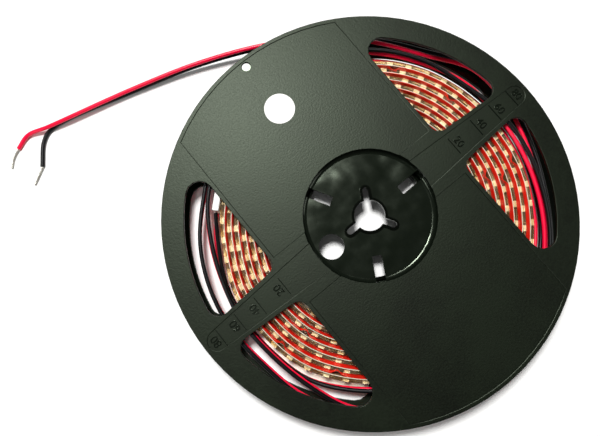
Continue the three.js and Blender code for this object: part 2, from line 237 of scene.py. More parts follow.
rollOutside = rollInside + tightReach + stripSetup["loosePitch"] * stripSetup["looseTurns"]
jointHalfAngle = math.degrees(stripSetup["jointLength"] / 2 / rollOutside)
rollEnd = stripSetup["jointAngle"] - jointHalfAngle - stripSetup["endGapAngle"] + 360
rollStart = rollEnd - 360 * rollTurns
stripBottom = stripSetup["flange"] + stripSetup["gap"]
stripMiddle = stripBottom + stripSetup["width"] / 2


def bulgeAt(angle):
    place = (angle % 360) / 30
    first = int(place)
    blend = (1 - math.cos(math.pi * (place - first))) / 2
    bulge = stripSetup["bulge"]
    return bulge[first % 12] + (bulge[(first + 1) % 12] - bulge[first % 12]) * blend


def tapeRadius(angle):
    # Radius of the tape's inner face, at an angle that counts every turn
    turn = (angle - rollStart) / 360
    tight = min(turn, stripSetup["tightTurns"])
    even = rollInside + stripSetup["tightPitch"] * tight + stripSetup["loosePitch"] * (turn - tight)
    share = (even - rollInside) / (rollOutside - rollInside)
    return even + bulgeAt(angle) * share


def ledAngles():
    cells = []
    angle = rollEnd
    while tapeRadius(angle) > stripSetup["ledsShowFrom"]:
        step = math.degrees(stripSetup["ledPitch"] / (tapeRadius(angle) + stripSetup["thickness"]))
        cells.append(angle - step / 2)
        angle -= step
    return cells[1:]


# Lead: two insulated wires. Route of the pair inside the reel: angle, radius, height, twist.
# Twist 0 has the red wire straight outside the black one, 90 above it and -90 below it.
leadSetup = {
    "diameter": 1.8,
    "spacing": 2.2,
    "spacingAtJoint": 4.2,
    "sides": 16,
    "steps": 8,
    "wound": [
        (150, 66.9, 5.6, -60), (165, 68.4, 4.4, -80), (180, 69.9, 4.2, -90), (195, 71.7, 4.2, -88),
        (210, 74.2, 4.4, -85), (225, 73.7, 6, -98), (240, 73.3, 7.1, -98), (255, 73.6, 7.3, -100),
        (270, 74, 6.8, -105), (285, 74.6, 5.8, -120), (300, 75, 4.7, -145), (315, 75.2, 3.8, -165),
        (330, 74, 3.7, -168), (345, 73.8, 3.9, -168), (360, 73.3, 4.1, -163), (375, 73, 4.2, -160),
        (390, 73.1, 4.2, -155), (405, 72.8, 4.2, -140), (420, 72, 5.1, -110), (435, 71.4, 6.2, -85),
        (450, 71, 7, -75), (465, 70.7, 7.4, -70), (480, 70.4, 7.7, -70), (495, 70.3, 8.2, -80),
        (510, 69.1, 8.4, -75), (525, 69, 8.5, -78), (540, 70.5, 8.5, -88), (555, 72, 8.5, -95),
        (570, 75.6, 8.3, -98), (585, 81, 7.8, -102), (600, 82.6, 7, -108), (615, 82.3, 6.7, -114),
        (630, 81.5, 6.7, -120), (645, 80.2, 7.4, -130), (660, 78.8, 8, -142), (675, 77, 8.4, -155),
        (690, 75.3, 8.5, -165), (705, 74.3, 8.5, -150), (720, 73.6, 8.4, -98), (735, 73.4, 8.4, -45),
        (750, 73.6, 8.5, -98), (765, 74.1, 8.6, -106), (780, 74.4, 8.4, -98), (795, 74.2, 8.1, -90),
        (810, 73.8, 7.8, -85), (825, 73.2, 7.4, -85), (840, 72.8, 7, -85), (855, 72.4, 6.9, -85),
        (870, 74, 7.4, -80), (885, 75.1, 7.6, -82), (900, 76.1, 7.6, -92), (915, 77.3, 7.6, -98),
        (930, 81, 7.2, -102), (945, 83.6, 6.5, -102), (960, 85, 6, -105), (975, 85.4, 5.8, -115),
        (990, 84.8, 5.6, -130), (1005, 83.2, 5.5, -147), (1020, 80.9, 5.7, -162),
        (1035, 78.7, 5.8, -175), (1050, 77.7, 5.8, -180), (1065, 79.1, 5.4, -182),
        (1080, 82, 5.2, -184), (1095, 83.8, 5.2, -185), (1110, 79.6, 5.4, -188), (1125, 79.9, 6, -210),
        (1140, 82.5, 6.6, -250), (1160, 89.6, 6.2, -275),
    ],
    "free": [(-13.6, 102.2, 4, 84), (-44.5, 112.1, 2.7, 80), (-84.9, 122.3, 2, 72)],
    "redEnd": [(-95, 126.2, 1.4), (-102, 124, 0.92)],
    "blackEnd": [(-91, 119.5, 0.92), (-98.5, 110.5, 0.92)],
    "redTip": [(-102.35, 123.8, 0.92), (-106, 122, 0.7), (-109.6, 118.7, 0.5)],
    "blackTip": [(-98.75, 110.2, 0.92), (-102.5, 108, 0.7), (-106, 106, 0.5)],
}


def jointCentre():
    # The sleeve lies on the LEDs of the turn below it
    seats = []
    for share in (-1, -0.5, 0, 0.5, 1):
        offset = share * jointHalfAngle
        tape = tapeRadius(stripSetup["jointAngle"] + offset) + stripSetup["thickness"]
        seats.append((tape + stripSetup["ledHeight"]) * math.cos(math.radians(offset)))
    return max(seats) + stripSetup["gap"] + stripSetup["jointThickness"] / 2


jointMiddle = jointCentre()
jointMidHeight = stripBottom + stripSetup["jointHeight"] / 2


def smoothRoute(points, steps):
    # A centripetal Catmull-Rom curve with the same number of steps between its points
    points = [Vector(point) for point in points]
    ends = [points[0] * 2 - points[1]] + points + [points[-1] * 2 - points[-2]]
    route = [points[0].copy()]
    for i in range(len(points) - 1):
        p0, p1, p2, p3 = ends[i:i + 4]
        d0, d1, d2 = [(b - a).length ** 0.5 for a, b in ((p0, p1), (p1, p2), (p2, p3))]
        t1 = ((p1 - p0) / d0 - (p2 - p0) / (d0 + d1) + (p2 - p1) / d1) * d1
        t2 = ((p2 - p1) / d1 - (p3 - p1) / (d1 + d2) + (p3 - p2) / d2) * d1
        for step in range(1, steps + 1):
            t = step / steps
            cubic = (p1 - p2) * 2 + t1 + t2
            square = (p2 - p1) * 3 - t1 * 2 - t2
            route.append(cubic * t ** 3 + square * t ** 2 + t1 * t + p1)
    return route


def wireRoute(side, end):
    turn = Matrix.Rotation(math.radians(stripSetup["jointAngle"]), 3, "Z")
    start = turn @ Vector((jointMiddle, stripSetup["jointLength"] / 2 + stripSetup["leadStartGap"], 0))
    rows = [(start.x, start.y, jointMidHeight, -90)]
    for angle, radius, height, twist in leadSetup["wound"]:
        turned = math.radians(angle)
        rows.append((radius * math.cos(turned), radius * math.sin(turned), height, twist))
    rows += leadSetup["free"]
    points = []
    for i, (x, y, z, twist) in enumerate(rows):
        before = rows[max(i - 1, 0)]
        after = rows[min(i + 1, len(rows) - 1)]
        heading = math.atan2(after[1] - before[1], after[0] - before[0])
        spacing = leadSetup["spacingAtJoint"] if i == 0 else leadSetup["spacing"]
        out = side * spacing * math.cos(math.radians(twist)) / 2
        up = side * spacing * math.sin(math.radians(twist)) / 2
        points.append((x + out * math.sin(heading), y - out * math.cos(heading), z + up))
    return [point * mm for point in smoothRoute(points + end, leadSetup["steps"])]


def curveObject(name, routes, diameter, sides):
    # sides is the number of flats round the cord, a multiple of 4
    data = bpy.data.curves.new(name, "CURVE")
    data.dimensions = "3D"
    data.bevel_depth = diameter / 2
    data.bevel_resolution = sides // 2 - 2
    data.use_fill_caps = True
    for route in routes:
        spline = data.splines.new("POLY")
        spline.points.add(len(route) - 1)
        spline.use_smooth = True
        for point, place in zip(spline.points, route):
            point.co = (*place, 1)
    piece = bpy.data.objects.new(name, data)
    scene.collection.objects.link(piece)
    return piece


def meshFromCurve(piece):
    bpy.context.view_layer.update()
    shape = piece.evaluated_get(bpy.context.evaluated_depsgraph_get())
    mesh = bpy.data.meshes.new_from_object(shape)
    name = piece.name
    bpy.data.objects.remove(piece)
    made = bpy.data.objects.new(name, mesh)
    scene.collection.objects.link(made)
    return made


# Tip of a lead: its bare strands, their lay and how far they run back into the insulation
tipSetup = {"strands": 7, "strand": 0.3, "lay": 5.0, "start": 1.2, "steps": 12, "sides": 8}


def strandedTip(name, places):
    # One strand down the middle and the others wound round it
    line = [point * mm for point in smoothRoute(places, tipSetup["steps"])]
    back = (line[0] - line[1]).normalized() * tipSetup["start"] * mm
    line.insert(0, line[0] + back)
    routes = []
    for strand in range(tipSetup["strands"]):
        route = []
        travelled = 0
        for i, point in enumerate(line):
            if i:
                travelled += (point - line[i - 1]).length
            ahead = (line[min(i + 1, len(line) - 1)] - line[max(i - 1, 0)]).normalized()
            side = ahead.cross(Vector((0, 0, 1))).normalized()
            up = side.cross(ahead)
            share = strand / (tipSetup["strands"] - 1) + travelled / (tipSetup["lay"] * mm)
            turn = 2 * math.pi * share
            reach = 0 if strand == 0 else tipSetup["strand"] * mm
            place = point + side * math.cos(turn) * reach + up * math.sin(turn) * reach
            route.append(place)
        routes.append(route)
    return meshFromCurve(curveObject(name, routes, tipSetup["strand"] * mm, tipSetup["sides"]))


redInsulation = pvcInsulation("redPvcInsulation", "ee0032", "ff0e46", 0.3, 0.35)
blackInsulation = pvcInsulation("blackPvcInsulation", "050506", "0c0c0e", 0.36, 0.22)
strandMetal = tinnedCopper()


def makeLead(name, side, colour):
    end = leadSetup["redEnd"] if side > 0 else leadSetup["blackEnd"]
    route = wireRoute(side, end)
    wire = curveObject("lead" + name, [route], leadSetup["diameter"] * mm, leadSetup["sides"])
    wire.data.materials.append(colour)
    tip = strandedTip("tip" + name, leadSetup["redTip"] if side > 0 else leadSetup["blackTip"])
    tip.data.materials.append(strandMetal)
    for polygon in tip.data.polygons:
        polygon.use_smooth = True
    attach(wire, "root")
    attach(tip, "root")
    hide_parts("lead_" + name.lower())
    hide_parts("tip_" + name.lower())


makeLead("Red", 1, redInsulation)
makeLead("Black", -1, blackInsulation)
print("leads made")


# Pieces in mesh


def meshFromBmesh(name, bm):
    mesh = bpy.data.meshes.new(name)
    bm.to_mesh(mesh)
    bm.free()
    return mesh


def pieceFromBmesh(name, bm, materials, replaced=None):
    mesh = meshFromBmesh(name, bm)
    for material in materials:
        mesh.materials.append(material)
    piece = bpy.data.objects.new(name, mesh)
    scene.collection.objects.link(piece)
    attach(piece, "root")
    if replaced:
        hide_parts(replaced)
    return piece


def smoothByAngle(piece, degrees):
    for polygon in piece.data.polygons:
        polygon.use_smooth = True
    piece.data.set_sharp_from_angle(angle=math.radians(degrees))


# Reel halves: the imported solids, merged, with their edges rounded as a mould leaves them.
# Heights, rounds and radii in millimetres, sharpFrom in degrees.
reelSetup = {
    "front": 12.35,
    "web": 9.15,
    "edgeRound": 0.35,
    "arborRound": 0.42,
    "stepRound": 0.27,
    "smallRound": 0.1,
    "sharpFrom": 35,
    "tallWall": 0.7,
    "flangeFrom": 31,
    "hubEdge": 28.95,
    "arborEdge": 16,
    "near": 0.01,
}


def roundEdges(bm, edges, size, segments):
    bmesh.ops.bevel(
        bm,
        geom=edges,
        offset=size * mm,
        offset_type="OFFSET",
        segments=segments,
        profile=0.5,
        affect="EDGES",
        material=-1,
        clamp_overlap=True,
    )


def convexEdges(bm):
    limit = math.radians(reelSetup["sharpFrom"])
    corners = [edge for edge in bm.edges if len(edge.link_faces) == 2 and edge.is_convex]
    return [edge for edge in corners if edge.calc_face_angle(0) > limit]


def ofTallWall(edge):
    for face in edge.link_faces:
        heights = [vert.co.z for vert in face.verts]
        tall = max(heights) - min(heights) > reelSetup["tallWall"] * mm
        if tall and abs(face.normal.z) < 0.1:
            return True
    return False


def reelHalf(name, node, materials):
    bm = bmesh.new()
    bm.from_mesh(nodes[node].data)
    bmesh.ops.remove_doubles(bm, verts=bm.verts, dist=0.002 * mm)
    bmesh.ops.dissolve_limit(bm, angle_limit=math.radians(0.5), verts=bm.verts, edges=bm.edges)
    wide = []
    arbor = []
    for edge in convexEdges(bm):
        radius = [vert.co.xy.length / mm for vert in edge.verts]
        if not ofTallWall(edge):
            continue
        if min(radius) > reelSetup["flangeFrom"]:
            wide.append(edge)
        elif max(radius) < reelSetup["arborEdge"]:
            arbor.append(edge)
    roundEdges(bm, arbor, reelSetup["arborRound"], 3)
    roundEdges(bm, wide, reelSetup["edgeRound"], 3)
    top = (reelSetup["front"] - reelSetup["near"]) * mm
    steps = [edge for edge in convexEdges(bm) if min(vert.co.z for vert in edge.verts) > top]
    roundEdges(bm, steps, reelSetup["stepRound"], 2)
    roundEdges(bm, convexEdges(bm), reelSetup["smallRound"], 1)
    for face in bm.faces:
        place = face.calc_center_median() / mm
        # The flanges are matte, the recess and its web polished, and the arbor's rim glossiest, with a
        # darker base colour as painted shade
        sunk = reelSetup["front"] - place.z > 2 * reelSetup["near"]
        offWeb = abs(place.z - reelSetup["web"]) > 5 * reelSetup["near"]
        if not sunk or place.xy.length >= reelSetup["hubEdge"]:
            face.material_index = 0
        elif offWeb and place.xy.length < reelSetup["arborEdge"]:
            face.material_index = 2
        else:
            face.material_index = 1
    bmesh.ops.triangulate(bm, faces=bm.faces)
    piece = pieceFromBmesh(name, bm, materials, node)
    smoothByAngle(piece, 40)
    for polygon in piece.data.polygons:
        if abs(polygon.normal.z) > 0.999:
            polygon.use_smooth = False


mattePlastic = mouldedPolystyrene()
glossPlastic = polishedPolystyrene("polishedPolystyrene", "0c110b", 0.14, 0.24, 0.6)
# The arbor's rim: near black and darker than the web, a painted shade that sets it apart
rimPlasticPaintedShade = polishedPolystyrene("highGlossPolystyrenePaintedShade", "020302", 0.08, 0.14, 0.1)
reelPlastics = [mattePlastic, glossPlastic, rimPlasticPaintedShade]
reelHalf("reelFront", "front_flange", reelPlastics)
reelHalf("reelRear", "rear_flange", reelPlastics)
print("reel halves made")


# Strip: a flexible printed board wound on the hub, with its liner on the inner side


def flexibleBoard():
    # Bare polyimide board: satin amber over its copper, which shows tan through the resin
    settings = {"Base Color": linearColour("b89c6e"), "Roughness": 0.42, "Specular IOR Level": 0.5}
    material, tree, shader = newMaterial("amberPolyimide", settings)
    patches = objectNoise(tree, 2.2, 3.0)
    tintBase(tree, shader, patches.outputs["Fac"], "7c5a30", "c4a878")
    return material


def boardEdgeHighlight():
    # Slit edge of the board, the palest line of the winding: a painted highlight, as if its edges caught
    # the lamp
    settings = {"Base Color": linearColour("efe2c4"), "Roughness": 0.5}
    material, tree, shader = newMaterial("slitPolyimidePaintedHighlight", settings)
    patches = objectNoise(tree, 1.6, 2.0)
    tintBase(tree, shader, patches.outputs["Fac"], "cdb78a", "fffaf0")
    return material


def releaseLiner():
    # Red polyester release film: thin, glossy, slightly crinkled
    settings = {
        "Base Color": linearColour("f4180f"),
        "Roughness": 0.3,
        "Specular IOR Level": 0.5,
        "Coat Weight": 0.25,
        "Coat Roughness": 0.2,
    }
    material, tree, shader = newMaterial("redReleaseFilm", settings)
    drift = objectNoise(tree, 5, 2.0)
    tintBase(tree, shader, drift.outputs["Fac"], "f81008", "ff3220")
    creases = objectNoise(tree, 1.4, 2.0)
    addBump(tree, shader, creases.outputs["Fac"], 0.3, 0.15)
    return material


# Shade of the parts on the board: size of its patches in millimetres and share of dark in them
driftSetup = {"grain": 1.0, "dark": 0.12}


def plainMaterial(name, colour, roughness, metallic=0.0):
    # A moulded or plated part too small for more than a slight drift of shade
    settings = {"Base Color": linearColour(colour), "Roughness": roughness, "Metallic": metallic}
    material, tree, shader = newMaterial(name, settings)
    drift = objectNoise(tree, driftSetup["grain"], 2.0)
    parts = [int(colour[i:i + 2], 16) * (1 - driftSetup["dark"]) for i in (0, 2, 4)]
    dark = "".join(f"{round(part):02x}" for part in parts)
    tintBase(tree, shader, drift.outputs["Fac"], dark, colour)
    return material


# The board as it is wound: the step of its grid in degrees and its thickness in millimetres
windingSetup = {"stepAngle": 4.0, "board": 0.25}

# The red liner: how far it stands off the board, leans and waves, and X, Y of its kinks
linerSetup = {
    "thickness": 0.16,
    "width": 8.2,
    "rows": 6,
    "stepAngle": 0.9,
    "endAngle": 0.6,
    "gap": 0.096,
    "lean": 0.6,
    "leanHeight": 2.4,
    "leanRoom": 0.08,
    "leanWave": 17,
    "wave": 0.24,
    "waveOffset": 0.4,
    "slowWave": (9, 6),
    "fineWave": (3.2, 5),
    "least": 0.05,
    "sink": 0.02,
    "kinkDepth": 1.6,
    "kinkHalfWidth": 2.9,
    "kinks": [
        (-64, -21), (-53, -24), (-53, -43), (49, 45), (62, 16),
        (51, -17), (54.5, -27), (65, -18), (40, 62),
    ],
}


def placeOnSpiral(angle, radius, height):
    turned = math.radians(angle)
    return Vector((radius * math.cos(turned), radius * math.sin(turned), height)) * mm


def woundBand(radiusAt, bottom, top, first, last, rows, stepAngle):
    # A flat grid laid along the spiral: its first side runs round, its second side up
    columns = math.ceil((last - first) / stepAngle)
    bm = bmesh.new()
    bmesh.ops.create_grid(bm, x_segments=columns, y_segments=rows, size=1)
    for vert in bm.verts:
        angle = first + (last - first) * (vert.co.x + 1) / 2
        height = bottom + (top - bottom) * (vert.co.y + 1) / 2
        vert.co = placeOnSpiral(angle, radiusAt(angle, height), height)
    return bm


def thicken(bm, thickness):
    # The band keeps its outer face where it is and grows towards the hub
    bmesh.ops.recalc_face_normals(bm, faces=bm.faces)
    outwards = sum(face.normal.dot(face.calc_center_median()) for face in bm.faces) > 0
    bmesh.ops.solidify(bm, geom=bm.faces, thickness=(thickness if outwards else -thickness) * mm)
    bmesh.ops.recalc_face_normals(bm, faces=bm.faces)


def boardBand():
    def outerFace(angle, height):
        return tapeRadius(angle) + stripSetup["thickness"]

    top = stripBottom + stripSetup["width"]
    bm = woundBand(outerFace, stripBottom, top, rollStart, rollEnd, 1, windingSetup["stepAngle"])
    thicken(bm, windingSetup["board"])
    for face in bm.faces:
        # Both edges of the board take the pale material, a painted highlight
        face.material_index = 1 if abs(face.normal.z) > 0.5 else 0
        face.smooth = abs(face.normal.z) < 0.5
    materials = [flexibleBoard(), boardEdgeHighlight()]
    piece = pieceFromBmesh("stripBoard", bm, materials, "led_strip")
    piece.data.set_sharp_from_angle(angle=math.radians(40))


def gapBelow(angle, cells):
    # Middle of the space between two LEDs of the turn below, nearest to this angle
    below = angle - 360
    near = sorted(cells, key=lambda cell: abs(cell - below))[:2]
    return sum(near) / 2 + 360 if len(near) == 2 else angle


def linerKinks(cells):
    # Places where the liner has let go of the board and stands off it in a small loop
    kinks = []
    for x, y in linerSetup["kinks"]:
        reach = math.hypot(x, y)
        bearing = math.degrees(math.atan2(y, x))
        turns = [bearing + 360 * k for k in range(-math.ceil(rollTurns), 3)]
        turns = [a for a in turns if rollStart + 360 < a < rollEnd]
        angle = min(turns, key=lambda a: abs(tapeRadius(a) - reach))
        kinks.append(gapBelow(angle, cells))
    return kinks


def linerWave(along, height):
    # Slow and fine waves of the slack film, along the strip and up its face
    slowLength, slowHeight = linerSetup["slowWave"]
    fineLength, fineHeight = linerSetup["fineWave"]
    slow = noise.noise(Vector((along / slowLength, height / slowHeight, 0)))
    fine = noise.noise(Vector((along / fineLength, 0, height / fineHeight)))
    return slow + fine / 2


def linerBand(cells):
    kinks = linerKinks(cells)
    top = stripBottom + stripSetup["width"]

    def linerFace(angle, height):
        # The film leaves the board's top edge and leans to the turn below it, as a slack liner does
        radius = tapeRadius(angle)
        below = tapeRadius(angle - 360)
        along = math.radians(angle) * radius
        lift = linerSetup["waveOffset"] + linerWave(along, height)
        offset = linerSetup["gap"] + linerSetup["wave"] * lift
        share = min(max((top - height) / linerSetup["leanHeight"], 0), 1)
        sway = 1 + noise.noise(Vector((along / linerSetup["leanWave"], 3, 0))) / 2
        offset = max(offset, linerSetup["least"]) + linerSetup["lean"] * share * sway
        covered = stripSetup["coat"] if below > stripSetup["ledsShowFrom"] else 0
        space = radius - below - windingSetup["board"] - covered
        offset = min(offset, space - linerSetup["thickness"] - linerSetup["leanRoom"])
        for kink in kinks:
            away = abs(math.radians(angle - kink) * radius)
            if away < linerSetup["kinkHalfWidth"]:
                share = (1 + math.cos(math.pi * away / linerSetup["kinkHalfWidth"])) / 2
                offset += linerSetup["kinkDepth"] * share
        return radius + stripSetup["thickness"] - windingSetup["board"] - max(offset, linerSetup["sink"])

    half = linerSetup["width"] / 2
    start = rollStart + 360 * (stripSetup["tightTurns"] - 1)
    end = rollEnd - linerSetup["endAngle"]
    low = stripMiddle - half
    high = stripMiddle + half
    bm = woundBand(linerFace, low, high, start, end, linerSetup["rows"], linerSetup["stepAngle"])
    thicken(bm, linerSetup["thickness"])
    for face in bm.faces:
        face.smooth = True
    piece = pieceFromBmesh("stripLiner", bm, [releaseLiner()])
    piece.data.set_sharp_from_angle(angle=math.radians(50))


# The coat lies on the board's outer face, with round shoulders where the resin drew back
coatSetup = {
    "width": 7.6,
    "sink": 0.02,
    "shoulder": 0.5,
    "stepAngle": 2.0,
    "startAngle": 2,
    "lineWidth": 0.42,
    "lineReach": 7,
}


def clearResin():
    # Cast clear polyurethane: glossy, tan where it is deep, with fine flow lines along the strip
    settings = {
        "Base Color": linearColour("efdcae"),
        "Roughness": 0.06,
        "IOR": 1.46,
        "Transmission Weight": 0.92,
    }
    material, tree, shader = newMaterial("clearPolyurethane", settings)
    # The lines are a noise drawn out along the strip: narrow across its turns, long along them
    place = addNode(tree, "ShaderNodeTexCoord").outputs["Object"]
    flat = addNode(tree, "ShaderNodeVectorMath", {"operation": "MULTIPLY", 1: (1, 1, 0)}, {0: place})
    reach = addNode(tree, "ShaderNodeVectorMath", {"operation": "LENGTH"}, {0: flat.outputs[0]})
    parts = addNode(tree, "ShaderNodeSeparateXYZ", {}, {0: place})
    axes = {
        0: (reach.outputs["Value"], coatSetup["lineWidth"]),
        1: (parts.outputs["X"], coatSetup["lineReach"]),
        2: (parts.outputs["Y"], coatSetup["lineReach"]),
    }
    flow = addNode(tree, "ShaderNodeCombineXYZ")
    for axis, (value, grain) in axes.items():
        scaled = addNode(tree, "ShaderNodeMath", {"operation": "MULTIPLY", 1: 1000 / grain}, {0: value})
        tree.links.new(scaled.outputs[0], flow.inputs[axis])
    settings = {"Scale": 1.0, "Detail": 1.0}
    lines = addNode(tree, "ShaderNodeTexNoise", settings, {"Vector": flow.outputs[0]})
    tintBase(tree, shader, lines.outputs["Fac"], "a37a3e", "f8e8c0", 0.36, 0.68)
    ripples = objectNoise(tree, 2.5, 1.0)
    addBump(tree, shader, ripples.outputs["Fac"], 0.1, 0.1)
    # The resin throws no dark shadow on the LEDs in it
    rays = addNode(tree, "ShaderNodeLightPath")
    clear = addNode(tree, "ShaderNodeBsdfTransparent", {"Color": linearColour("f5f1e8")})
    links = {"Fac": rays.outputs["Is Shadow Ray"], 1: shader.outputs[0], 2: clear.outputs[0]}
    mixed = addNode(tree, "ShaderNodeMixShader", {}, links)
    output = next(node for node in tree.nodes if node.type == "OUTPUT_MATERIAL")
    tree.links.new(mixed.outputs[0], output.inputs["Surface"])
    return material


def facesOutward(face):
    away = face.calc_center_median().xy.to_3d()
    return face.normal.dot(away) > away.length / 2


def shoulderEdges(bm):
    shoulders = []
    for edge in bm.edges:
        level = abs(edge.verts[0].co.z - edge.verts[1].co.z) < 0.001 * mm
        if not level or len(edge.link_faces) != 2 or edge.calc_face_angle(0) <= 1:
            continue
        sides = edge.link_faces
        if any(facesOutward(face) for face in sides) and any(abs(face.normal.z) > 0.9 for face in sides):
            shoulders.append(edge)
    return shoulders


def coatBand(cells):
    def outerFace(angle, height):
        return tapeRadius(angle) + stripSetup["thickness"] + stripSetup["coat"]

    half = coatSetup["width"] / 2
    start = cells[-1] - coatSetup["startAngle"]
    low = stripMiddle - half
    high = stripMiddle + half
    bm = woundBand(outerFace, low, high, start, rollEnd, 1, coatSetup["stepAngle"])
    thicken(bm, stripSetup["coat"] + coatSetup["sink"])
    shoulders = shoulderEdges(bm)
    roundEdges(bm, shoulders, coatSetup["shoulder"], 2)
    for face in bm.faces:
        face.smooth = True
    piece = pieceFromBmesh("stripCoat", bm, [clearResin()])
    piece.data.set_sharp_from_angle(angle=math.radians(50))
    print(f"coat made, {len(shoulders)} shoulder edges")


# Parts on the board's outer face, and which material each face of them has.
# Drawn with the board's face at zero: X runs along the strip, Y across it and Z off the board.
partIndex = {"body": 0, "lens": 1, "tin": 2, "ceramic": 3, "copper": 4}
ledSetup = {
    "along": 2.8,
    "across": 3.5,
    "high": 1.9,
    "taper": 0.93,
    "edge": 0.12,
    "lens": 1.15,
    "lensHigh": 0.1,
    "lensSides": 12,
    "leg": (2.2, 0.5, 0.36),
    "legLap": 0.1,
    "legMiddle": 0.14,
}
resistorSetup = {
    "body": (1.25, 1.5, 0.5),
    "cap": (1.27, 0.3, 0.52),
    "capAway": 0.85,
    "solder": (1.3, 0.45, 0.12),
    "solderAway": 1.15,
}
padSetup = {
    "along": 0.95,
    "across": 2.5,
    "foot": 0.85,
    "top": 0.8,
    "high": 0.1,
    "middle": 0.03,
    "sides": 10,
}


def paintFaces(verts, part):
    for face in {face for vert in verts for face in vert.link_faces}:
        face.material_index = partIndex[part]


def boxOf(bm, size, place, part):
    made = bmesh.ops.create_cube(bm, size=1)["verts"]
    bmesh.ops.scale(bm, vec=Vector(size) * mm, verts=made)
    bmesh.ops.translate(bm, vec=Vector(place) * mm, verts=made)
    paintFaces(made, part)
    return made


def discOf(bm, foot, top, high, sides, place, part):
    made = bmesh.ops.create_cone(
        bm,
        cap_ends=True,
        segments=sides,
        radius1=foot * mm,
        radius2=top * mm,
        depth=high * mm,
        matrix=Matrix.Translation(Vector(place) * mm),
    )["verts"]
    paintFaces(made, part)


def ledPackage():
    # A package 3.5 by 2.8 mm, tapered, with a round lens and a leg at each side
    bm = bmesh.new()
    high = ledSetup["high"]
    body = boxOf(bm, (ledSetup["along"], ledSetup["across"], high), (0, 0, high / 2), "body")
    for vert in body:
        if vert.co.z > high / 2 * mm:
            vert.co.x *= ledSetup["taper"]
            vert.co.y *= ledSetup["taper"]
    edges = [edge for edge in bm.edges if max(vert.co.z for vert in edge.verts) > high / 2 * mm]
    roundEdges(bm, edges, ledSetup["edge"], 1)
    lens = ledSetup["lens"]
    discOf(bm, lens, lens, ledSetup["lensHigh"], ledSetup["lensSides"], (0, 0, high), "lens")
    away = (ledSetup["across"] + ledSetup["leg"][1]) / 2 - ledSetup["legLap"]
    for side in (-1, 1):
        boxOf(bm, ledSetup["leg"], (0, side * away, ledSetup["legMiddle"]), "tin")
    return meshFromBmesh("ledPackage", bm)


def chipResistor():
    bm = bmesh.new()
    boxOf(bm, resistorSetup["body"], (0, 0, resistorSetup["body"][2] / 2), "ceramic")
    for side in (-1, 1):
        for part in ("cap", "solder"):
            size = resistorSetup[part]
            boxOf(bm, size, (0, side * resistorSetup[part + "Away"], size[2] / 2), "tin")
    return meshFromBmesh("chipResistor", bm)


def cutPads():
    # Bare copper pads where the strip may be cut and soldered, two on each side of the cut
    bm = bmesh.new()
    for along in (-padSetup["along"], padSetup["along"]):
        for across in (-padSetup["across"], padSetup["across"]):
            place = (along, across, padSetup["middle"])
            size = (padSetup["foot"], padSetup["top"], padSetup["high"])
            discOf(bm, *size, padSetup["sides"], place, "copper")
    return meshFromBmesh("cutPads", bm)


def addCopy(bm, mesh, angle, sink=0.04):
    # A copy stands on the board at this angle, its foot sunk into it a little
    count = len(bm.verts)
    bm.from_mesh(mesh)
    bm.verts.ensure_lookup_table()
    made = bm.verts[count:]
    turned = math.radians(angle)
    along = Vector((-math.sin(turned), math.cos(turned), 0))
    outward = Vector((math.cos(turned), math.sin(turned), 0))
    up = Vector((0, 0, 1))
    radius = tapeRadius(angle) + stripSetup["thickness"] - sink
    place = placeOnSpiral(angle, radius, stripMiddle)
    matrix = Matrix((along, up, outward)).transposed().to_4x4()
    matrix.translation = place
    bmesh.ops.transform(bm, matrix=matrix, verts=made)


def stripParts(cells):
    # The strip may be cut after every third LED, and has a resistor in its other spaces
    bm = bmesh.new()
    led = ledPackage()
    resistor = chipResistor()
    pads = cutPads()
    for i, angle in enumerate(cells):
        addCopy(bm, led, angle)
        if i + 1 < len(cells):
            between = (angle + cells[i + 1]) / 2
            addCopy(bm, pads if i % 3 == 2 else resistor, between, 0.02)
    bmesh.ops.recalc_face_normals(bm, faces=bm.faces)
    for mesh in (led, resistor, pads):
        bpy.data.meshes.remove(mesh)
    materials = [
        plainMaterial("mouldedPolyphthalamide", "fff7e2", 0.4),
        plainMaterial("phosphorSilicone", "e8c84a", 0.25),
        plainMaterial("tinSolder", "c4c4c0", 0.35, 0.9),
        plainMaterial("resistorCeramic", "2a2a2c", 0.45),
        plainMaterial("bareCopperPad", "c98d4c", 0.35, 0.8),
    ]
    pieceFromBmesh("stripLeds", bm, materials)


ledCells = ledAngles()
boardBand()
linerBand(ledCells)
coatBand(ledCells)
stripParts(ledCells)
print(f"strip made, {len(ledCells)} LEDs")


# Sleeve shrunk over the solder joint, with a small mouth at each end
sleeveSetup = {"corner": 0.6, "lip": 0.45, "mouth": 0.6, "rings": 14, "ripple": 0.12, "wave": 1.7}


def shrinkSleeve():
    # Heat-shrink polyolefin, white: satin, with faint wrinkles round it
    settings = {"Base Color": linearColour("f6f5f1"), "Roughness": 0.36}
    material, tree, shader = newMaterial("shrunkPolyolefin", settings)
    drift = objectNoise(tree, 4, 2.0)
    tintBase(tree, shader, drift.outputs["Fac"], "ebe9e2", "fcfbf8")
    wrinkles = objectNoise(tree, 1.6, 2.0)
    addBump(tree, shader, wrinkles.outputs["Fac"], 0.25, 0.12)
    return material


